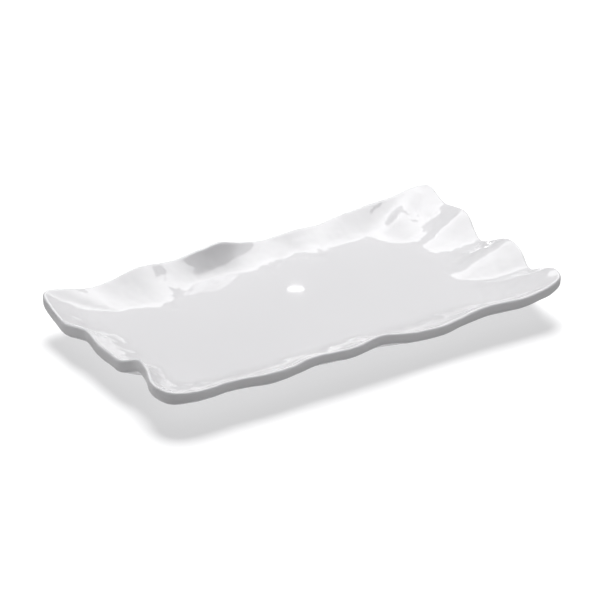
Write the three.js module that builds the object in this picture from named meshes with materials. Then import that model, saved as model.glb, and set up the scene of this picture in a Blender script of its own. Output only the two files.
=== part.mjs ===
// A large rectangular china serving platter with a ruffled rim.
// Millimetres, +Z up. The long side runs along X, the front side faces -Y, and the foot stands on z = 0.
// The origin is under the middle of the platter's overall box.
import * as THREE from "three";

// Driving dimensions.
const LENGTH = 457; // nominal rim length along X; the ruffles wander a few millimetres either side of it
const WIDTH = 250; // nominal rim width along Y
const WALL = 6.7; // thickness of the well
const LIP = { front: 12, right: 10, back: 9.5, left: 13.5 }; // height of the rim's upright edge
const LIP_TOP_ROUND = 2.4; // radius of the cut edge's upper arris
const LIP_UNDER_ROUND = 4.5; // radius of its lower arris
const UNDER_ARRIS_TURN = Math.PI / 3; // how far the lower arris turns before the under face takes over
const FOOT_HEIGHT = 6;
const FOOT_MARGIN = 11; // how far inside the widest rim the foot ring stays, at the seam
const FOOT_BAND = 7; // width of the face that the foot ring stands on
const FOOT_DRAFT = 1.2; // how much wider the foot is on each side where it meets the body
const FOOT_CORNER = 34; // outer corner radius
const FOOT_ROUND = 0.8; // rounding of the standing face's edges
const RAIL_WIDTH = 6; // support rails across the inside of the foot ring
const RAIL_PITCH = 100; // distance between the two rails' centrelines
const RAIL_RELIEF = 0.6; // how far the rails stay above the table
const SEAM = 0.3; // gap between pieces that are luted together

const WELL_TOP = FOOT_HEIGHT + SEAM + WALL; // height of the well's upper face

// How far the rim runs in from the nominal edge before it meets the flat well. Its height grows outwards as
// the distance from the well to the power "curl", so a larger curl is a flatter start and a steeper edge.
const REACH = { front: 50, right: 70, back: 42, left: 44 };
const CURL = { front: 2.1, right: 1.6, back: 1.6, left: 1.9 };
const WELL_CORNER = 20; // how far from its ends a side of the well starts to turn its corners
const WELL_EASE = 20; // how far inside the well's rectangle its wandering line has straightened out
const FAN_END = 0.2; // how closely the lines from rim to well stand at a corner: 1 is even, 0 is all together

// The foot ring is centred, so the wider of two opposite rims sets its size.
const FOOT_LENGTH = LENGTH - 2 * (Math.max(REACH.left, REACH.right) + FOOT_MARGIN);
const FOOT_WIDTH = WIDTH - 2 * (Math.max(REACH.front, REACH.back) + FOOT_MARGIN);

// The ruffles, side by side, anticlockwise seen from above. "at" is the place along the side from 0 to 1,
// "out" is how far the edge stands outside the nominal rectangle, and "rise" is how far it rises above the
// well. A ruffle may also have a reach and a curl of its own.
const RUFFLES = {
  front: [
    { at: 0.06, out: -2, rise: 20.5 },
    { at: 0.15, out: -2, rise: 20.5 },
    { at: 0.265, out: 2, rise: 17.5 },
    { at: 0.355, out: -1.5, rise: 21 },
    { at: 0.44, out: 1, rise: 19 },
    { at: 0.52, out: -2, rise: 21 },
    { at: 0.6, out: 1.5, rise: 16 },
    { at: 0.67, out: 2.5, rise: 14.5 },
    { at: 0.8, out: -1.5, rise: 19.5 },
    { at: 0.89, out: 1.5, rise: 18.5 },
    { at: 0.97, out: -1, rise: 22.5 },
  ],
  right: [
    { at: 0.09, out: 2, rise: 26, reach: 64 },
    { at: 0.13, out: 0.5, rise: 21.5, reach: 60 },
    { at: 0.21, out: -3, rise: 12, reach: 56 },
    { at: 0.245, out: -2.5, rise: 12, reach: 58 },
    { at: 0.29, out: 0, rise: 17, reach: 64 },
    { at: 0.34, out: 3, rise: 22, reach: 72 },
    { at: 0.38, out: 2.5, rise: 24.5, reach: 75 },
    { at: 0.44, out: 2, rise: 22, reach: 72 },
    { at: 0.51, out: -3, rise: 12.5, reach: 62 },
    { at: 0.55, out: -5, rise: 8, reach: 58 },
    { at: 0.6, out: -4, rise: 9, reach: 60 },
    { at: 0.66, out: -0.5, rise: 15, reach: 68 },
    { at: 0.725, out: 2.5, rise: 23.5, reach: 74 },
    { at: 0.79, out: 2, rise: 21, reach: 74 },
    { at: 0.88, out: 0.5, rise: 18.5, reach: 74 },
    { at: 0.94, out: 0.5, rise: 23.5, reach: 74 },
  ],
  back: [
    { at: 0.04, out: 2, rise: 25, reach: 42 },
    { at: 0.1, out: 1, rise: 21, reach: 34 },
    { at: 0.155, out: 0, rise: 20.5, reach: 31 },
    { at: 0.235, out: 1, rise: 16.5, reach: 31 },
    { at: 0.29, out: 2, rise: 13, reach: 39 },
    { at: 0.37, out: 1, rise: 14, reach: 24 },
    { at: 0.45, out: 2, rise: 12, reach: 36 },
    { at: 0.505, out: 0, rise: 18, reach: 31 },
    { at: 0.56, out: -4, rise: 26.5, reach: 24, curl: 2 },
    { at: 0.61, out: -3, rise: 23.5, reach: 23, curl: 2 },
    { at: 0.69, out: 1, rise: 18, reach: 38 },
    { at: 0.765, out: -3, rise: 23.5, reach: 52 },
    { at: 0.84, out: 0, rise: 15.5, reach: 45 },
    { at: 0.885, out: 1, rise: 13.5, reach: 42 },
    { at: 0.945, out: 0, rise: 19, reach: 39 },
  ],
  left: [
    { at: 0.055, out: 4, rise: 18.5 },
    { at: 0.13, out: 5, rise: 15 },
    { at: 0.21, out: 6, rise: 14 },
    { at: 0.295, out: 1.5, rise: 18 },
    { at: 0.335, out: -1, rise: 19 },
    { at: 0.44, out: 1, rise: 16.5 },
    { at: 0.56, out: 0.5, rise: 17 },
    { at: 0.615, out: 0, rise: 17 },
    { at: 0.65, out: -6, rise: 20 },
    { at: 0.7, out: -9, rise: 25.5 },
    { at: 0.75, out: -8, rise: 26 },
    { at: 0.81, out: -5, rise: 23.5 },
    { at: 0.87, out: 0, rise: 21.5 },
  ],
};

// The corners, each at the start of the side it is named for: how far it stands outside the nominal rectangle
// along X and Y, how far it rises above the well, the height of the cut edge there, and how far inside the
// nominal rectangle the well's own corner lies along X and Y.
const CORNERS = {
  front: { outX: -6.5, outY: -11, rise: 20, lip: 13.5, inX: 52, inY: 58 },
  right: { outX: -0.5, outY: -6, rise: 25.5, lip: 10.5, inX: 78, inY: 58 },
  back: { outX: 1, outY: -1.5, rise: 28, lip: 9, inX: 88, inY: 51 },
  left: { outX: 2, outY: 1, rise: 23.5, lip: 12, inX: 64, inY: 38 },
};

// Mesh fineness.
const AROUND_STEP = 8; // distance between cross-sections along the edge
const WELL_RINGS = [0.5, 1];
const EASE_RINGS = [0.5];
const RIM_RINGS = [0, 0.1, 0.21, 0.33, 0.45, 0.57, 0.68, 0.79, 0.9, 1];
const UNDER_RINGS = [0.88, 0.74, 0.6, 0.44, 0.28, 0.12, 0];
const UNDER_WELL_RINGS = [1, 0.5];
const TOP_ARRIS_STEPS = 4;
const UNDER_ARRIS_STEPS = 3;
const CORNER_STEPS = 10;

const UP = new THREE.Vector3(0, 0, 1);

// Each side's frame: its start corner, the direction it runs in, the direction outwards, and its length.
const SIDES = [
  { name: "front", start: [-1, -1], along: [1, 0], outward: [0, -1], length: LENGTH },
  { name: "right", start: [1, -1], along: [0, 1], outward: [1, 0], length: WIDTH },
  { name: "back", start: [1, 1], along: [-1, 0], outward: [0, 1], length: LENGTH },
  { name: "left", start: [-1, 1], along: [0, -1], outward: [-1, 0], length: WIDTH },
];

// The well's rectangle, which the ruffles' own reaches then vary.
const WELL = {
  minX: -LENGTH / 2 + REACH.left,
  maxX: LENGTH / 2 - REACH.right,
  minY: -WIDTH / 2 + REACH.front,
  maxY: WIDTH / 2 - REACH.back,
};

// The same place on the straightened line inside the well's edge.
const eased = (value, low, high) => {
  const middle = (low + high) / 2;
  return middle + (value - middle) * (1 - (2 * WELL_EASE) / (high - low));
};

// The stations round the rim: for each ruffle and corner, the point on the edge, the point where the well
// ends, the point on the straightened line inside it, the curl, and the height of the cut edge.
function stations() {
  const found = [];
  for (const side of SIDES) {
    const corner = CORNERS[side.name];
    const [signX, signY] = side.start;
    found.push({
      edge: new THREE.Vector3(
        signX * (LENGTH / 2 + corner.outX),
        signY * (WIDTH / 2 + corner.outY),
        WELL_TOP + corner.rise,
      ),
      well: new THREE.Vector3(
        signX * (LENGTH / 2 - corner.inX),
        signY * (WIDTH / 2 - corner.inY),
        0,
      ),
      inner: new THREE.Vector3(
        eased(signX < 0 ? WELL.minX : WELL.maxX, WELL.minX, WELL.maxX),
        eased(signY < 0 ? WELL.minY : WELL.maxY, WELL.minY, WELL.maxY),
        0,
      ),
      curl: CURL[side.name],
      lip: corner.lip,
    });
    for (const ruffle of RUFFLES[side.name]) {
      found.push(ruffleStation(side, ruffle));
    }
  }
  return found;
}

// Where a place along the rim, from -1 to 1, falls on the well's side: straight across from it in the middle,
// and closing up towards the ends so that the lines from rim to well fan out round the corners.
function placeOnWell(place, rimSide, low, high) {
  const half = (high - low) / 2 - WELL_CORNER;
  const spread = rimSide / 2 / half;
  const power = (spread - FAN_END) / (spread - 1) - 1;
  const closing = (spread - 1) * Math.pow(Math.abs(place), power);
  return (low + high) / 2 + half * place * (spread - closing);
}

function ruffleStation(side, { at, out, rise, reach = REACH[side.name], curl = CURL[side.name] }) {
  const along = new THREE.Vector3(...side.along, 0);
  const outward = new THREE.Vector3(...side.outward, 0);
  const start = new THREE.Vector3((side.start[0] * LENGTH) / 2, (side.start[1] * WIDTH) / 2, 0);
  const edge = start.clone().addScaledVector(along, at * side.length).addScaledVector(outward, out);
  edge.z = WELL_TOP + rise;
  const well = start.clone().addScaledVector(outward, -reach);
  const place = (side.along[0] + side.along[1]) * (2 * at - 1);
  const level = start.clone().addScaledVector(outward, -REACH[side.name]);
  if (side.along[0]) {
    well.x = placeOnWell(place, LENGTH, WELL.minX, WELL.maxX);
    level.x = well.x;
  } else {
    well.y = placeOnWell(place, WIDTH, WELL.minY, WELL.maxY);
    level.y = well.y;
  }
  const inner = new THREE.Vector3(
    eased(level.x, WELL.minX, WELL.maxX),
    eased(level.y, WELL.minY, WELL.maxY),
    0,
  );
  return { edge, well, inner, curl, lip: LIP[side.name] };
}

// A smooth closed line through the stations, read at any place u from 0 to 1.
const STATIONS = stations();
const EDGE_LINE = new THREE.CatmullRomCurve3(STATIONS.map((s) => s.edge), true, "centripetal");
const WELL_LINE = new THREE.CatmullRomCurve3(STATIONS.map((s) => s.well), true, "centripetal");
const INNER_LINE = new THREE.CatmullRomCurve3(STATIONS.map((s) => s.inner), true, "centripetal");
const PROFILE_LINE = new THREE.CatmullRomCurve3(
  STATIONS.map((s) => new THREE.Vector3(s.curl, s.lip, 0)),
  true,
  "catmullrom",
  0.5,
);

// Places round the rim for the cross-sections, about AROUND_STEP apart on the edge.
function placesAround() {
  const places = [];
  const count = STATIONS.length;
  for (let i = 0; i < count; i++) {
    const span = STATIONS[i].edge.distanceTo(STATIONS[(i + 1) % count].edge);
    const steps = Math.max(1, Math.round(span / AROUND_STEP));
    for (let k = 0; k < steps; k++) {
      places.push((i + k / steps) / count);
    }
  }
  return places;
}

// A point of the rim's upper face: v is 0 at the well and 1 at the edge.
function rimPoint(u, v) {
  const place = ((u % 1) + 1) % 1;
  const edge = EDGE_LINE.getPoint(place);
  const well = WELL_LINE.getPoint(place);
  const curl = PROFILE_LINE.getPoint(place).x;
  const rise = (edge.z - WELL_TOP) * Math.pow(v, curl);
  const point = well.lerp(edge, v);
  point.z = WELL_TOP + rise;
  return point;
}

// The upper face's normal there, its slope, and the level direction out of the platter square to the rim.
function rimFrame(u, v) {
  const du = 0.0004;
  const dv = 0.01;
  const inner = Math.max(0, Math.min(v, 1 - dv));
  const round = rimPoint(u + du, v).sub(rimPoint(u - du, v)).normalize();
  const outwards = rimPoint(u, inner + dv).sub(rimPoint(u, inner)).normalize();
  const normal = v === 0 ? UP.clone() : outwards.clone().cross(round).normalize();
  return { normal, slope: Math.acos(normal.z), level: round.clone().cross(UP).normalize() };
}

const lipAt = (u) => PROFILE_LINE.getPoint(((u % 1) + 1) % 1).y;

// The under face lies a wall's thickness from the upper one, and straight under it at the cut edge.
function underPoint(u, v) {
  const share = THREE.MathUtils.smoothstep(v, 0.1, 1);
  const down = rimFrame(u, v).normal.lerp(UP, share).normalize();
  return rimPoint(u, v).addScaledVector(down, -THREE.MathUtils.lerp(WALL, lipAt(u), share));
}

// The upright cut edge's section, from the upper face round to the under face: [outwards, downwards] from
// the place where the upper face ends, rising at the angle "slope".
function lipSection(lip, slope) {
  const arc = (steps, from, to) =>
    Array.from({ length: steps }, (_, i) => THREE.MathUtils.lerp(from, to, (i + 1) / steps));
  const face = LIP_TOP_ROUND * (1 + Math.sin(slope));
  const upper = arc(TOP_ARRIS_STEPS, -slope, Math.PI / 2).map((a) => [
    LIP_TOP_ROUND * (Math.sin(slope) + Math.sin(a)),
    LIP_TOP_ROUND * (Math.cos(slope) - Math.cos(a)),
  ]);
  const centre = lip - LIP_UNDER_ROUND * Math.sin(UNDER_ARRIS_TURN);
  const lower = arc(UNDER_ARRIS_STEPS, 0, UNDER_ARRIS_TURN).map((a) => [
    face - LIP_UNDER_ROUND * (1 - Math.cos(a)),
    centre + LIP_UNDER_ROUND * Math.sin(a),
  ]);
  return [...upper, [face, centre], ...lower];
}

// A closed skin over a list of rings with equal numbers of points. Without end points it closes on itself as
// a tube does, and with them its two ends are closed by fans.
function skin(rings, ends) {
  const count = rings[0].length;
  const positions = rings.flat().flatMap((p) => [p.x, p.y, p.z]);
  const faces = [];
  const quad = (a, b, c, d) => faces.push(a, b, c, a, c, d);
  const strips = ends ? rings.length - 1 : rings.length;
  for (let j = 0; j < strips; j++) {
    const here = j * count;
    const next = ((j + 1) % rings.length) * count;
    for (let i = 0; i < count; i++) {
      const k = (i + 1) % count;
      quad(here + i, next + i, next + k, here + k);
    }
  }
  if (ends) {
    const first = rings.length * count;
    const last = first + 1;
    ends.forEach((p) => positions.push(p.x, p.y, p.z));
    const lastRing = (rings.length - 1) * count;
    for (let i = 0; i < count; i++) {
      const k = (i + 1) % count;
      faces.push(first, i, k);
      faces.push(last, lastRing + k, lastRing + i);
    }
  }
  const geometry = new THREE.BufferGeometry();
  geometry.setAttribute("position", new THREE.Float32BufferAttribute(positions, 3));
  geometry.setIndex(faces);
  geometry.computeVertexNormals();
  return geometry;
}

// The body in one piece: flat well, ruffled rim and thick cut edge.
function bodyGeometry() {
  const places = placesAround();
  const middleX = (WELL.minX + WELL.maxX) / 2;
  const middleY = (WELL.minY + WELL.maxY) / 2;
  const middle = new THREE.Vector3(middleX, middleY, WELL_TOP);
  const under = middle.clone().setZ(WELL_TOP - WALL);
  const shrunk = (share, centre) =>
    places.map((u) => centre.clone().lerp(INNER_LINE.getPoint(u).setZ(centre.z), share));
  const rings = WELL_RINGS.map((share) => shrunk(share, middle));
  for (const share of EASE_RINGS) {
    rings.push(places.map((u) => INNER_LINE.getPoint(u).setZ(WELL_TOP).lerp(rimPoint(u, 0), share)));
  }
  for (const v of RIM_RINGS) {
    rings.push(places.map((u) => rimPoint(u, v)));
  }
  const sections = places.map((u) => lipSection(lipAt(u), rimFrame(u, 1).slope));
  for (let i = 0; i < sections[0].length; i++) {
    rings.push(
      places.map((u, k) => {
        const [out, down] = sections[k][i];
        return rimPoint(u, 1).addScaledVector(rimFrame(u, 1).level, out).addScaledVector(UP, -down);
      }),
    );
  }
  for (const v of UNDER_RINGS) {
    rings.push(places.map((u) => underPoint(u, v)));
  }
  for (const share of UNDER_WELL_RINGS) {
    rings.push(shrunk(share, under));
  }
  return skin(rings, [middle, under]);
}

// A rounded rectangle in plan, as a ring of points at one height.
function roundedRing(length, width, corner, z) {
  const centres = [
    [1, -1],
    [1, 1],
    [-1, 1],
    [-1, -1],
  ];
  return centres.flatMap(([signX, signY], quarter) =>
    Array.from({ length: CORNER_STEPS + 1 }, (_, i) => {
      const angle = ((quarter - 1 + i / CORNER_STEPS) * Math.PI) / 2;
      return new THREE.Vector3(
        signX * (length / 2 - corner) + corner * Math.cos(angle),
        signY * (width / 2 - corner) + corner * Math.sin(angle),
        z,
      );
    }),
  );
}

// The foot ring: a drafted band with a flat standing face, following one rounded rectangle all the way round.
function footGeometry() {
  const band = FOOT_BAND + 2 * FOOT_DRAFT;
  const ring = (inset, z) =>
    roundedRing(FOOT_LENGTH - 2 * inset, FOOT_WIDTH - 2 * inset, FOOT_CORNER - inset, z);
  return skin([
    ring(band, FOOT_HEIGHT),
    ring(0, FOOT_HEIGHT),
    ring(FOOT_DRAFT, FOOT_ROUND),
    ring(FOOT_DRAFT + FOOT_ROUND, 0),
    ring(band - FOOT_DRAFT - FOOT_ROUND, 0),
    ring(band - FOOT_DRAFT, FOOT_ROUND),
  ]);
}

// A support rail: a round-ended bar across the inside of the foot ring, a little short of it at both ends.
function railGeometry() {
  const clear = FOOT_WIDTH - 2 * (FOOT_BAND + 2 * FOOT_DRAFT) - 2 * SEAM;
  const radius = RAIL_WIDTH / 2;
  const straight = clear / 2 - radius;
  const outline = new THREE.Shape();
  outline.absarc(0, straight, radius, 0, Math.PI, false);
  outline.absarc(0, -straight, radius, Math.PI, 2 * Math.PI, false);
  outline.closePath();
  return new THREE.ExtrudeGeometry(outline, {
    depth: FOOT_HEIGHT - RAIL_RELIEF,
    bevelEnabled: false,
    curveSegments: 12,
  });
}

const glazed = new THREE.MeshStandardMaterial({ color: 0xf1f1f2, roughness: 0.08, metalness: 0 });
const bisque = new THREE.MeshStandardMaterial({ color: 0xe9e4da, roughness: 0.75, metalness: 0 });

function piece(name, geometry, material) {
  const mesh = new THREE.Mesh(geometry, material);
  mesh.name = name;
  return mesh;
}

const platter = new THREE.Group();
platter.add(piece("platter_body", bodyGeometry(), glazed));
platter.add(piece("foot_ring", footGeometry(), bisque));
[-1, 1].forEach((side) => {
  const rail = piece(side < 0 ? "support_rail_left" : "support_rail_right", railGeometry(), bisque);
  rail.position.set((side * RAIL_PITCH) / 2, 0, RAIL_RELIEF);
  platter.add(rail);
});

// The ruffles are irregular, so the pieces are shifted together until the overall box is centred on the
// origin.
const box = new THREE.Box3().setFromObject(platter);
const centre = box.getCenter(new THREE.Vector3());
centre.z = 0;
platter.children.forEach((mesh) => mesh.position.sub(centre));

export default platter;
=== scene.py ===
"""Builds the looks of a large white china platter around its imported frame: body, foot, rails and stage."""

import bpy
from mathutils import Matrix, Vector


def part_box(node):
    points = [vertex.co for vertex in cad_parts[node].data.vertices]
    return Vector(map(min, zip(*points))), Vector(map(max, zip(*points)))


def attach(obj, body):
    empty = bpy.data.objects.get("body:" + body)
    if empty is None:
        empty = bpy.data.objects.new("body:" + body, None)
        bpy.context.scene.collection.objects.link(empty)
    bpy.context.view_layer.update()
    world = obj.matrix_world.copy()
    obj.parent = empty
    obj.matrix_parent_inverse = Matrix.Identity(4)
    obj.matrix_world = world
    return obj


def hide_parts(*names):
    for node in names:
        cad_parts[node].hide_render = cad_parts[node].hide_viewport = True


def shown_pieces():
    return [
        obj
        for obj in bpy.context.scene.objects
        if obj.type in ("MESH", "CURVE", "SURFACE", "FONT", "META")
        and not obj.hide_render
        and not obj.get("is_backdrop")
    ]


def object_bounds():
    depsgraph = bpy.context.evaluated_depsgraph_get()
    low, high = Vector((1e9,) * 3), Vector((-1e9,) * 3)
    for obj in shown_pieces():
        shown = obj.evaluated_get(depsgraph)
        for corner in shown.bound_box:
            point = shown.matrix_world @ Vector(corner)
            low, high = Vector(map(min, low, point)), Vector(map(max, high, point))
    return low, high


bl_info = {
    "name": "Ruffled China Platter",
    "version": (1, 0, 0),
    "blender": (4, 5, 0),
    "location": "3D View > Sidebar > Platter",
    "description": "Builds a ruffled china serving platter, its foot and a plain studio round its CAD frame",
    "category": "Object",
}

import math

import bmesh
import bpy
from bpy.props import FloatProperty, FloatVectorProperty, IntProperty, PointerProperty
from mathutils import Vector

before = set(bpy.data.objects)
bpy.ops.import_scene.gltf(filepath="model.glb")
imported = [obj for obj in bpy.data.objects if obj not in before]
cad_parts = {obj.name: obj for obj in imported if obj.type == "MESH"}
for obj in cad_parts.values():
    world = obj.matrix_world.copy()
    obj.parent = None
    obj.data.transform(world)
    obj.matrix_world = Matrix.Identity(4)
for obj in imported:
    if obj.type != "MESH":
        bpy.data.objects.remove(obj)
CAD_BOX = [list(corner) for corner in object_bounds()]

MM = 0.001
FLOOR_SIZE = 40
FLOOR_DROP = 0.05 * MM  # how far the floor lies under the standing face
DIM_FLOOR = 0.08  # the floor's albedo for the light that it gives the china
WELD = 0.01 * MM  # vertices of a CAD copy closer than this are one
WELL_TOP = 13 * MM
UNDER_WELL = 6.29 * MM  # just under the flat underside that the foot is luted to
FOOT_BAND = 9.4 * MM  # width of the foot where it meets the body
FOOT_DRAFT = 1.2 * MM
FOOT_CORNER = 34 * MM
FOOT_ROUND = 0.8 * MM
ROUND_STEPS = 3
LUTE = 0.6 * MM  # how far the slip that joins the foot to the body flares out
LUTE_STEP = 0.1 * MM  # straight part of the foot above that flare
RAIL_ROUND = 1.4 * MM
RAIL_FLAT = 0.02 * MM  # what is left straight at a rail's round ends
NEAR = 0.1 * MM  # edges this close to a rail's lowest face belong to it
RIM_FADE = 1.6 * MM  # height over the well in which the rim's swells reach full size
BOX_FADE = 2 * MM  # distance from the overall box in which they die away

AIM = (-14.8 * MM, -12.7 * MM, 30 * MM)  # what the camera looks at, from the middle of the foot
SENSOR = 36
SOFTBOX_HEIGHT = 1.6
SOFTBOX_WIDTH = 2.6
SOFTBOX_FROM = math.radians(42)  # the softbox's far edge, above the far horizon
SOFTBOX_TO = math.radians(114)  # its near edge, past overhead
HORIZON_BAND = math.radians(9)
GLINT_PLACE = (18 * MM, 54 * MM, WELL_TOP)  # where the glint is mirrored, from the middle of the foot
GLINT_SIZE = (31 * MM, 10 * MM)
GLINT_DISTANCE = 2.5
STRIP_SIZE = (4, 0.05)
STRIP_DISTANCE = 3
STRIP_HEIGHT = 0.2


class PlatterSettings(bpy.types.PropertyGroup):
    """Sizes and finishes of the platter that a user would change."""

    glaze_colour: FloatVectorProperty(
        name="Glaze", description="Colour of the glazed china",
        subtype="COLOR", default=(0.78, 0.775, 0.79),
    )
    glaze_roughness: FloatProperty(
        name="Glaze roughness", description="How much the glaze blurs a reflection",
        default=0.025, min=0, max=1,
    )
    glaze_ior: FloatProperty(
        name="Glaze IOR", description="Index of refraction of the glaze", default=1.6, min=1, max=2
    )
    bare_colour: FloatVectorProperty(
        name="Bare china", description="Colour of the unglazed china",
        subtype="COLOR", default=(0.74, 0.7, 0.63),
    )
    glaze_line: FloatProperty(
        name="Glaze line", description="Height on the foot where the glaze starts",
        default=2.2 * MM, unit="LENGTH",
    )
    waviness: FloatProperty(
        name="Waviness", description="Height of the hand-worked swells on the rim",
        default=2.4 * MM, unit="LENGTH",
    )
    wave_size: FloatProperty(
        name="Wave size", description="Distance between those swells", default=26 * MM, unit="LENGTH"
    )
    fineness: IntProperty(
        name="Fineness", description="Subdivision levels of the body", default=2, min=0, max=2
    )


class StageSettings(bpy.types.PropertyGroup):
    """The studio: where the camera stands and how strong the lights are."""

    azimuth: FloatProperty(
        name="Azimuth", description="Camera's place round the platter",
        default=math.radians(-31.8), subtype="ANGLE",
    )
    elevation: FloatProperty(
        name="Elevation", description="Camera's height above the table",
        default=math.radians(27.7), subtype="ANGLE",
    )
    distance: FloatProperty(
        name="Distance", description="From the camera to what it looks at", default=3.48, unit="LENGTH"
    )
    lens: FloatProperty(
        name="Lens", description="Focal length in millimetres on a 36 mm sensor", default=207.6
    )
    softbox: FloatProperty(
        name="Softbox", description="Radiance of the overhead softbox", default=2.02
    )
    surround: FloatProperty(
        name="Surround", description="Radiance of the room round the table", default=0.03
    )
    horizon: FloatProperty(
        name="Horizon", description="Radiance where the table's edge meets the room", default=0.25
    )
    wash: FloatProperty(
        name="Floor wash", description="Strength of the lamp that lights the floor", default=9
    )
    wash_elevation: FloatProperty(
        name="Wash elevation", description="Height of that lamp", default=math.radians(38), subtype="ANGLE"
    )
    wash_spread: FloatProperty(
        name="Wash spread", description="Angle that the lamp fills, which softens the shadow",
        default=math.radians(28), subtype="ANGLE",
    )
    floor_seen: FloatProperty(
        name="Floor lift", description="Light added to the floor as it is seen", default=0.62
    )
    floor_given: FloatProperty(
        name="Floor bounce", description="Light that the floor adds to the china", default=0.36
    )
    floor_colour: FloatProperty(
        name="Floor albedo", description="How pale the floor is as it is seen", default=0.32
    )
    glint: FloatProperty(
        name="Glint", description="Radiance of the small lamp mirrored in the well", default=2.5
    )
    strip: FloatProperty(
        name="Strip", description="Radiance of the low strip lamp behind the platter", default=4
    )


def select_only(piece):
    """Leaves one object selected and active, in object mode."""
    bpy.ops.object.select_all(action="DESELECT")
    piece.select_set(True)
    bpy.context.view_layer.objects.active = piece


def foot_centre():
    """The middle of the foot ring, on the table."""
    low, high = (Vector(corner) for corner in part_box("foot_ring"))
    return Vector(((low.x + high.x) / 2, (low.y + high.y) / 2, 0))


def away_from_camera(stage):
    """The level direction from the camera past the platter."""
    return Vector((-math.sin(stage.azimuth), math.cos(stage.azimuth), 0))


def adopt(piece, node, material):
    """Puts a finished piece in the frame, in place of its CAD node."""
    piece.data.materials.clear()
    piece.data.materials.append(material)
    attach(piece, "root")
    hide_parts(node)


# Materials.


def new_group(name, inputs, outputs):
    """An empty shader node group with float inputs (name, default) and outputs (name, socket type)."""
    group = bpy.data.node_groups.new(name, "ShaderNodeTree")
    for label, default in inputs:
        socket = group.interface.new_socket(label, in_out="INPUT", socket_type="NodeSocketFloat")
        socket.default_value = default
    for label, kind in outputs:
        group.interface.new_socket(label, in_out="OUTPUT", socket_type=kind)
    return group, group.nodes.new("NodeGroupInput"), group.nodes.new("NodeGroupOutput")


def new_material(name):
    material = bpy.data.materials.new(name)
    material.use_nodes = True
    return material, material.node_tree.nodes, material.node_tree.links


def add_noise(nodes, links, place, scale, detail=2.0):
    """Seedless 3-D noise read at object coordinates; scale is its repeats in a metre."""
    noise = nodes.new("ShaderNodeTexNoise")
    noise.inputs["Scale"].default_value = scale
    noise.inputs["Detail"].default_value = detail
    links.new(place, noise.inputs["Vector"])
    return noise.outputs["Fac"]


def add_math(nodes, links, operation, *values):
    """A math node fed by sockets or plain numbers."""
    node = nodes.new("ShaderNodeMath")
    node.operation = operation
    for socket, value in zip(node.inputs, values):
        if isinstance(value, (int, float)):
            socket.default_value = value
        else:
            links.new(value, socket)
    return node.outputs[0]


def add_range(nodes, links, value, low, high, to_low, to_high):
    """Maps a value from one range to another, smoothly and held at the ends."""
    node = nodes.new("ShaderNodeMapRange")
    node.interpolation_type = "SMOOTHSTEP"
    links.new(value, node.inputs["Value"])
    for label, number in (("From Min", low), ("From Max", high), ("To Min", to_low), ("To Max", to_high)):
        if isinstance(number, (int, float)):
            node.inputs[label].default_value = number
        else:
            links.new(number, node.inputs[label])
    return node.outputs["Result"]


def glaze_group():
    """Fired glaze: a faint tint where it pools, softer and rougher patches, and the ripple of its surface."""
    group, take, give = new_group(
        "fired_glaze",
        [("Tint", 0.02), ("Roughness", 0.05), ("Ripple", 0.000004)],
        [("Tone", "NodeSocketFloat"), ("Roughness", "NodeSocketFloat"), ("Height", "NodeSocketFloat")],
    )
    nodes, links = group.nodes, group.links
    place = nodes.new("ShaderNodeTexCoord").outputs["Object"]
    broad = add_noise(nodes, links, place, 9)
    fine = add_noise(nodes, links, place, 70)
    dust = add_noise(nodes, links, place, 600, 0)
    pooled = add_math(nodes, links, "SUBTRACT", broad, 0.5)
    tone = add_math(nodes, links, "MULTIPLY_ADD", pooled, take.outputs["Tint"], 1)
    links.new(tone, give.inputs["Tone"])
    uneven = add_range(nodes, links, fine, 0.35, 0.65, 0.75, 1.25)
    links.new(add_math(nodes, links, "MULTIPLY", uneven, take.outputs["Roughness"]), give.inputs["Roughness"])
    ripple = add_math(nodes, links, "MULTIPLY_ADD", dust, 0.05, fine)
    links.new(add_math(nodes, links, "MULTIPLY", ripple, take.outputs["Ripple"]), give.inputs["Height"])
    return group


def glaze_line_group():
    """1 where the foot is bare and 0 where it is glazed, with a wandering line between them."""
    group, take, give = new_group(
        "glaze_line",
        [("Height", 0.002), ("Wander", 0.0012)],
        [("Bare", "NodeSocketFloat"), ("Speckle", "NodeSocketFloat")],
    )
    nodes, links = group.nodes, group.links
    place = nodes.new("ShaderNodeTexCoord").outputs["Object"]
    split = nodes.new("ShaderNodeSeparateXYZ")
    links.new(place, split.inputs["Vector"])
    wander = add_math(nodes, links, "SUBTRACT", add_noise(nodes, links, place, 60), 0.5)
    line = add_math(nodes, links, "MULTIPLY_ADD", wander, take.outputs["Wander"], take.outputs["Height"])
    above = add_math(nodes, links, "SUBTRACT", split.outputs["Z"], line)
    links.new(add_range(nodes, links, above, -0.00015, 0.00015, 1, 0), give.inputs["Bare"])
    grain = nodes.new("ShaderNodeTexVoronoi")
    grain.inputs["Scale"].default_value = 900
    links.new(place, grain.inputs["Vector"])
    links.new(add_range(nodes, links, grain.outputs["Distance"], 0.05, 0.22, 1, 0), give.inputs["Speckle"])
    return group


def add_group(nodes, group, **values):
    node = nodes.new("ShaderNodeGroup")
    node.node_tree = group
    for label, value in values.items():
        node.inputs[label].default_value = value
    return node


def add_bump(nodes, links, height, shader):
    """Feeds a height in metres to the shader's normal."""
    bump = nodes.new("ShaderNodeBump")
    bump.inputs["Distance"].default_value = 1
    links.new(height, bump.inputs["Height"])
    links.new(bump.outputs["Normal"], shader.inputs["Normal"])


def add_tone(nodes, links, colour, tone):
    """A colour made a little paler or deeper."""
    mix = nodes.new("ShaderNodeVectorMath")
    mix.operation = "SCALE"
    mix.inputs[0].default_value = colour
    links.new(tone, mix.inputs["Scale"])
    return mix.outputs["Vector"]


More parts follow.
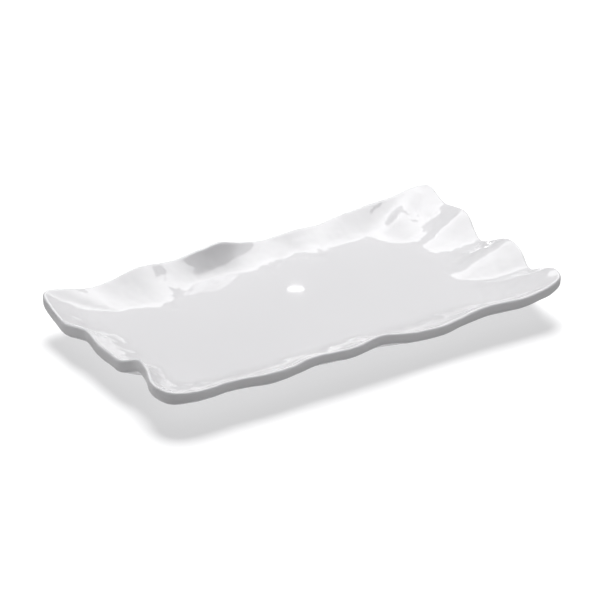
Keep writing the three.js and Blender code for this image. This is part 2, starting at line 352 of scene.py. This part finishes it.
def glaze_material(settings):
    material, nodes, links = new_material("glazed_china")
    shader = nodes["Principled BSDF"]
    shader.inputs["IOR"].default_value = settings.glaze_ior
    fired = bpy.data.node_groups["fired_glaze"]
    glaze = add_group(nodes, fired, Tint=0.03, Roughness=settings.glaze_roughness)
    tone = add_tone(nodes, links, settings.glaze_colour, glaze.outputs["Tone"])
    links.new(tone, shader.inputs["Base Color"])
    links.new(glaze.outputs["Roughness"], shader.inputs["Roughness"])
    add_bump(nodes, links, glaze.outputs["Height"], shader)
    return material


def bare_material(settings):
    """Fired clay on the standing face, running up to the edge of the glaze."""
    material = bpy.data.materials.get("bare_china")
    if material:
        return material
    material, nodes, links = new_material("bare_china")
    shader = nodes["Principled BSDF"]
    shader.inputs["IOR"].default_value = settings.glaze_ior
    fired = bpy.data.node_groups["fired_glaze"]
    glaze = add_group(nodes, fired, Tint=0.05, Roughness=settings.glaze_roughness)
    foot = add_group(nodes, bpy.data.node_groups["glaze_line"], Height=settings.glaze_line)
    mix = nodes.new("ShaderNodeMix")
    mix.data_type = "RGBA"
    links.new(foot.outputs["Bare"], mix.inputs["Factor"])
    links.new(add_tone(nodes, links, settings.glaze_colour, glaze.outputs["Tone"]), mix.inputs["A"])
    specks = add_range(nodes, links, foot.outputs["Speckle"], 0, 1, 1, 0.8)
    links.new(add_tone(nodes, links, settings.bare_colour, specks), mix.inputs["B"])
    links.new(mix.outputs["Result"], shader.inputs["Base Color"])
    rough = add_range(nodes, links, foot.outputs["Bare"], 0, 1, glaze.outputs["Roughness"], 0.75)
    links.new(rough, shader.inputs["Roughness"])
    grain = add_math(nodes, links, "MULTIPLY", foot.outputs["Speckle"], foot.outputs["Bare"])
    height = add_math(nodes, links, "MULTIPLY_ADD", grain, -0.00002, glaze.outputs["Height"])
    add_bump(nodes, links, height, shader)
    return material


class PLATTER_OT_shared(bpy.types.Operator):
    """Makes the node groups that the china's materials share"""

    bl_idname = "platter.shared"
    bl_label = "Shared finishes"

    def execute(self, context):
        glaze_group()
        glaze_line_group()
        return {"FINISHED"}


# The body.

# Where a hand has worked the rim, in millimetres from the middle of the foot: X, Y, radius, and how far it is
# lifted. Presses that overlap add up, so the far right corner is lifted further than any one of them.
PRESSES = (
    (180, 86, 30, 4.4),
    (161, 90, 24, 1.0),
    (164, 91, 16, 1.8),
    (175, 98, 17, 3.4),
    (186, 106, 17, 3.8),
    (198, 113, 17, 3.2),
    (210, 119, 14, 1.8),
    (-49, 95, 10, 0.8),
    (-118, 70, 12, 0.7),
    (-86, 92, 12, -0.6),
    (10, 88, 12, 0.7),
    (35, 102, 12, -0.6),
    (68, 84, 12, 0.7),
    (80, 94, 9, -0.5),
    (-221, 83, 16, 1.2),
    (-196, 26, 14, 1.0),
    (-201, 41, 12, 0.9),
    (-206, -84, 14, 1.0),
    (-208, -66, 12, 0.8),
    (-169, -87, 14, 0.9),
    (-131, -89, 14, 0.8),
    (6, -92, 16, 1.0),
    (101, -95, 14, 0.9),
)


class PLATTER_OT_body(bpy.types.Operator):
    """Makes the glazed body: a smoothed copy of the CAD body with its rim worked by hand"""

    bl_idname = "platter.body"
    bl_label = "Glazed body"

    def execute(self, context):
        settings = context.scene.platter
        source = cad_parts["platter_body"]
        body = bpy.data.objects.new("glazed_body", source.data.copy())
        context.scene.collection.objects.link(body)
        select_only(body)
        bpy.ops.object.mode_set(mode="EDIT")
        bpy.ops.mesh.select_all(action="SELECT")
        bpy.ops.mesh.remove_doubles(threshold=WELD)
        bpy.ops.mesh.tris_convert_to_quads(face_threshold=math.pi, shape_threshold=math.pi)
        bpy.ops.mesh.normals_make_consistent(inside=False)
        bpy.ops.object.mode_set(mode="OBJECT")
        smooth = body.modifiers.new("smooth", "SUBSURF")
        smooth.levels = smooth.render_levels = settings.fineness
        bpy.ops.object.modifier_apply(modifier=smooth.name)
        self.press(body)
        self.work_rim(body, settings)
        bpy.ops.object.shade_smooth()
        adopt(body, "platter_body", glaze_material(settings))
        return {"FINISHED"}

    def press(self, body):
        """Lifts or lowers the clay round each place of PRESSES, fading out at its radius."""
        middle = foot_centre()
        bpy.ops.object.mode_set(mode="EDIT")
        bpy.ops.mesh.select_mode(type="VERT")
        mesh = bmesh.from_edit_mesh(body.data)
        top = [(v.co.xy.copy(), v.index) for v in mesh.verts if v.normal.z > 0.5]
        for x, y, radius, lift in PRESSES:
            place = (middle + Vector((x, y, 0)) * MM).xy
            nearest = min(top, key=lambda found: (found[0] - place).length_squared)[1]
            bpy.ops.mesh.select_all(action="DESELECT")
            mesh = bmesh.from_edit_mesh(body.data)
            mesh.verts.ensure_lookup_table()
            mesh.verts[nearest].select_set(True)
            bmesh.update_edit_mesh(body.data)
            bpy.ops.transform.translate(
                value=(0, 0, lift * MM),
                use_proportional_edit=True,
                proportional_edit_falloff="SMOOTH",
                proportional_size=radius * MM,
            )
        bpy.ops.object.mode_set(mode="OBJECT")

    def work_rim(self, body, settings):
        """Swells the rim slightly, as clay pressed by hand; the well stays flat and the outline stays put."""
        low, high = (Vector(corner) for corner in CAD_BOX)
        rim = body.vertex_groups.new(name="rim")
        for vertex in body.data.vertices:
            x, y, z = vertex.co
            inside = min(x - low.x, high.x - x, y - low.y, high.y - y, high.z - z) / BOX_FADE
            above = (z - WELL_TOP) / RIM_FADE
            share = max(0, min(1, above, inside))
            rim.add([vertex.index], share, "REPLACE")
        cloud = bpy.data.textures.new("swells", "CLOUDS")
        cloud.noise_scale = settings.wave_size
        cloud.noise_depth = 2
        swell = body.modifiers.new("swell", "DISPLACE")
        swell.texture = cloud
        swell.texture_coords = "LOCAL"
        swell.direction = "Z"
        swell.mid_level = 0.5
        swell.strength = settings.waviness
        swell.vertex_group = rim.name
        bpy.ops.object.modifier_apply(modifier=swell.name)


# The foot.


def start_piece(name):
    """Names the primitive that was just added and opens it for editing."""
    piece = bpy.context.active_object
    piece.name = name
    bpy.ops.object.transform_apply(location=True, rotation=True, scale=True)
    bpy.ops.object.mode_set(mode="EDIT")
    return piece


def pick(kind, test):
    """Selects the vertices, edges or faces of the edited mesh that pass a test, and nothing else."""
    bpy.ops.mesh.select_mode(type=kind)
    bpy.ops.mesh.select_all(action="DESELECT")
    mesh = bmesh.from_edit_mesh(bpy.context.edit_object.data)
    items = {"VERT": mesh.verts, "EDGE": mesh.edges, "FACE": mesh.faces}[kind]
    found = 0
    for item in items:
        if test(item):
            item.select_set(True)
            found += 1
    mesh.select_flush_mode()
    bmesh.update_edit_mesh(bpy.context.edit_object.data)
    if not found:
        raise RuntimeError("nothing to select on " + bpy.context.edit_object.name)


def close_piece(piece):
    bpy.ops.mesh.select_all(action="SELECT")
    bpy.ops.mesh.normals_make_consistent(inside=False)
    bpy.ops.object.mode_set(mode="OBJECT")
    bpy.ops.object.shade_smooth_by_angle(angle=math.radians(40))


class PLATTER_OT_foot_ring(bpy.types.Operator):
    """Makes the foot ring: a drafted band with rounded standing edges, luted to the body with slip"""

    bl_idname = "platter.foot_ring"
    bl_label = "Foot ring"

    def execute(self, context):
        settings = context.scene.platter
        low, high = (Vector(corner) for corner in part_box("foot_ring"))
        bpy.ops.object.select_all(action="DESELECT")
        bpy.ops.mesh.primitive_plane_add(size=1, location=(*((low + high) / 2).xy, UNDER_WELL))
        context.active_object.scale = (high.x - low.x + 2 * LUTE, high.y - low.y + 2 * LUTE, 1)
        ring = start_piece("foot_ring_looks")
        bpy.ops.mesh.select_all(action="SELECT")
        bpy.ops.mesh.bevel(offset=FOOT_CORNER + LUTE, segments=16, affect="VERTICES")
        bpy.ops.mesh.flip_normals()
        pick("FACE", lambda face: True)
        bpy.ops.mesh.inset(thickness=FOOT_BAND + 2 * LUTE)
        pick("FACE", lambda face: len(face.verts) > 4)
        bpy.ops.mesh.delete(type="FACE")
        pick("FACE", lambda face: True)
        bpy.ops.mesh.extrude_region_move(TRANSFORM_OT_translate={"value": (0, 0, -LUTE_STEP)})
        bpy.ops.mesh.inset(thickness=LUTE, depth=LUTE)
        bpy.ops.mesh.inset(thickness=FOOT_DRAFT, depth=UNDER_WELL - LUTE_STEP - LUTE - FOOT_ROUND)
        for step in range(ROUND_STEPS):
            start, end = (math.pi / 2 * (step + i) / ROUND_STEPS for i in (0, 1))
            inwards = FOOT_ROUND * (math.cos(start) - math.cos(end))
            bpy.ops.mesh.inset(thickness=inwards, depth=FOOT_ROUND * (math.sin(end) - math.sin(start)))
        close_piece(ring)
        adopt(ring, "foot_ring", bare_material(settings))
        return {"FINISHED"}


class PLATTER_OT_rails(bpy.types.Operator):
    """Makes the two support rails: round-ended bars with softened lower edges"""

    bl_idname = "platter.rails"
    bl_label = "Support rails"

    def execute(self, context):
        settings = context.scene.platter
        for node in ("support_rail_left", "support_rail_right"):
            low, high = (Vector(corner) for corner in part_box(node))
            high.z = UNDER_WELL
            size = high - low
            bpy.ops.object.select_all(action="DESELECT")
            bpy.ops.mesh.primitive_cube_add(size=1, location=(low + high) / 2)
            context.active_object.scale = size
            rail = start_piece(node + "_looks")
            pick("EDGE", lambda edge: abs(edge.verts[0].co.z - edge.verts[1].co.z) > size.z / 2)
            bpy.ops.mesh.bevel(offset=size.x / 2 - RAIL_FLAT, segments=8, affect="EDGES")
            pick("EDGE", lambda edge: all(vert.co.z < low.z + NEAR for vert in edge.verts))
            bpy.ops.mesh.bevel(offset=RAIL_ROUND, segments=4, affect="EDGES")
            close_piece(rail)
            adopt(rail, node, bare_material(settings))
        return {"FINISHED"}


# The stage.


def area_light(name, place, aim, size, radiance):
    """A rectangular lamp. Its power is its radiance times four times its area."""
    data = bpy.data.lights.new(name, "AREA")
    data.shape = "RECTANGLE"
    data.size, data.size_y = size
    data.energy = radiance * 4 * size[0] * size[1]
    light = bpy.data.objects.new(name, data)
    light.location = place
    light.rotation_euler = (Vector(aim) - Vector(place)).to_track_quat("-Z", "Y").to_euler()
    bpy.context.scene.collection.objects.link(light)
    return light


class PLATTER_OT_stage(bpy.types.Operator):
    """Makes the pale floor, the soft light and the camera"""

    bl_idname = "platter.stage"
    bl_label = "Stage"

    def execute(self, context):
        stage = context.scene.platter_stage
        floor = self.add_floor(stage)
        self.add_room(stage)
        self.add_lights(context, stage, floor)
        self.add_glint(stage)
        self.add_strip(stage)
        self.add_camera(stage)
        context.scene.view_settings.view_transform = "Standard"
        return {"FINISHED"}

    def add_floor(self, stage):
        """A white sweep, lifted for the camera more than for the china's reflections of it."""
        bpy.ops.object.select_all(action="DESELECT")
        bpy.ops.mesh.primitive_plane_add(size=FLOOR_SIZE, location=(0, 0, -FLOOR_DROP))
        floor = bpy.context.active_object
        floor.name = "floor"
        material, nodes, links = new_material("floor")
        shader = nodes["Principled BSDF"]
        shader.inputs["Roughness"].default_value = 1
        shader.inputs["Specular IOR Level"].default_value = 0
        shader.inputs["Emission Color"].default_value = (0.99, 0.99, 1, 1)
        # In front of the platter the glaze mirrors the floor as the camera sees it, and behind it a dimmer
        # one. "In front" is on the camera's side, by the azimuth setting.
        place = nodes.new("ShaderNodeTexCoord")
        across = nodes.new("ShaderNodeVectorMath")
        across.operation = "DOT_PRODUCT"
        across.inputs[1].default_value = away_from_camera(stage)
        links.new(place.outputs["Object"], across.inputs[0])
        front = add_range(nodes, links, across.outputs["Value"], -0.15, 0.1, 1, 0)
        path = nodes.new("ShaderNodeLightPath")
        mirrored = add_math(nodes, links, "MULTIPLY", path.outputs["Is Glossy Ray"], front)
        seen = add_math(nodes, links, "MAXIMUM", path.outputs["Is Camera Ray"], mirrored)
        colour = add_range(nodes, links, seen, 0, 1, DIM_FLOOR, stage.floor_colour)
        lift = add_range(nodes, links, seen, 0, 1, stage.floor_given, stage.floor_seen)
        links.new(colour, shader.inputs["Base Color"])
        links.new(lift, shader.inputs["Emission Strength"])
        floor.data.materials.append(material)
        floor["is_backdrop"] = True
        return floor

    def add_room(self, stage):
        """The room round the table: a grey backdrop with a paler band where the table's edge meets it."""
        world = bpy.data.worlds.new("room")
        bpy.context.scene.world = world
        world.use_nodes = True
        nodes, links = world.node_tree.nodes, world.node_tree.links
        place = nodes.new("ShaderNodeTexCoord")
        split = nodes.new("ShaderNodeSeparateXYZ")
        ramp = nodes.new("ShaderNodeValToRGB")
        ramp.color_ramp.elements[0].position = 0
        ramp.color_ramp.elements[0].color = (stage.horizon, stage.horizon, stage.horizon, 1)
        ramp.color_ramp.elements[1].position = math.sin(HORIZON_BAND)
        ramp.color_ramp.elements[1].color = (stage.surround, stage.surround, stage.surround, 1)
        links.new(place.outputs["Generated"], split.inputs["Vector"])
        links.new(split.outputs["Z"], ramp.inputs["Fac"])
        links.new(ramp.outputs["Color"], nodes["Background"].inputs["Color"])

    def add_lights(self, context, stage, floor):
        """A softbox over the table that leaves the floor out, and a wash that lights the floor alone."""
        away = away_from_camera(stage)
        near = SOFTBOX_HEIGHT / math.tan(SOFTBOX_TO)
        far = SOFTBOX_HEIGHT / math.tan(SOFTBOX_FROM)
        centre = away * (near + far) / 2 + Vector((0, 0, SOFTBOX_HEIGHT))
        below = centre - Vector((0, 0, 1))
        softbox = area_light("softbox", centre, below, (SOFTBOX_WIDTH, far - near), stage.softbox)
        softbox.rotation_euler = (0, 0, stage.azimuth)
        # The wash comes from behind the platter and throws its shadow towards the camera.
        direction = away * math.cos(stage.wash_elevation) + Vector((0, 0, math.sin(stage.wash_elevation)))
        sun = bpy.data.lights.new("floor_wash", "SUN")
        sun.energy = stage.wash
        sun.angle = stage.wash_spread
        wash = bpy.data.objects.new("floor_wash", sun)
        wash.rotation_euler = (-direction).to_track_quat("-Z", "Y").to_euler()
        context.scene.collection.objects.link(wash)
        lit_by_wash = bpy.data.collections.new("lit_by_wash")
        lit_by_wash.objects.link(floor)
        wash.light_linking.receiver_collection = lit_by_wash
        lit_by_softbox = bpy.data.collections.new("lit_by_softbox")
        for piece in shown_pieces():
            if piece != floor:
                lit_by_softbox.objects.link(piece)
        softbox.light_linking.receiver_collection = lit_by_softbox

    def add_glint(self, stage):
        """A small oval lamp behind the platter, where the camera sees it mirrored in the well."""
        mirrored = foot_centre() + Vector(GLINT_PLACE)
        away = away_from_camera(stage)
        ray = away * math.cos(stage.elevation) + Vector((0, 0, math.sin(stage.elevation)))
        lamp = area_light("glint", mirrored + ray * GLINT_DISTANCE, mirrored, GLINT_SIZE, stage.glint)
        lamp.data.shape = "ELLIPSE"

    def add_strip(self, stage):
        """A long low lamp far behind the platter, which draws thin lines on the rims that turn away."""
        place = away_from_camera(stage) * STRIP_DISTANCE + Vector((0, 0, STRIP_HEIGHT))
        area_light("strip", place, (0, 0, place.z), STRIP_SIZE, stage.strip)

    def add_camera(self, stage):
        aim = foot_centre() + Vector(AIM)
        back = Vector((
            math.sin(stage.azimuth) * math.cos(stage.elevation),
            -math.cos(stage.azimuth) * math.cos(stage.elevation),
            math.sin(stage.elevation),
        ))
        data = bpy.data.cameras.new("camera")
        data.lens = stage.lens
        data.sensor_width = SENSOR
        camera = bpy.data.objects.new("camera", data)
        camera.location = aim + back * stage.distance
        camera.rotation_euler = (-back).to_track_quat("-Z", "Y").to_euler()
        bpy.context.scene.collection.objects.link(camera)
        bpy.context.scene.camera = camera


class PLATTER_PT_panel(bpy.types.Panel):
    """Lists the platter's operators"""

    bl_idname = "PLATTER_PT_panel"
    bl_label = "China platter"
    bl_space_type = "VIEW_3D"
    bl_region_type = "UI"
    bl_category = "Platter"

    def draw(self, context):
        for operator in OPERATORS:
            self.layout.operator(operator.bl_idname)


OPERATORS = (PLATTER_OT_shared, PLATTER_OT_body, PLATTER_OT_foot_ring, PLATTER_OT_rails, PLATTER_OT_stage)
CLASSES = (PlatterSettings, StageSettings, *OPERATORS, PLATTER_PT_panel)


def register():
    for cls in CLASSES:
        bpy.utils.register_class(cls)
    bpy.types.Scene.platter = PointerProperty(type=PlatterSettings)
    bpy.types.Scene.platter_stage = PointerProperty(type=StageSettings)


def unregister():
    del bpy.types.Scene.platter_stage
    del bpy.types.Scene.platter
    for cls in reversed(CLASSES):
        bpy.utils.unregister_class(cls)


def main():
    register()
    bpy.ops.platter.shared()
    bpy.ops.platter.body()
    bpy.ops.platter.foot_ring()
    bpy.ops.platter.rails()
    bpy.ops.platter.stage()


if __name__ == "__main__":
    main()
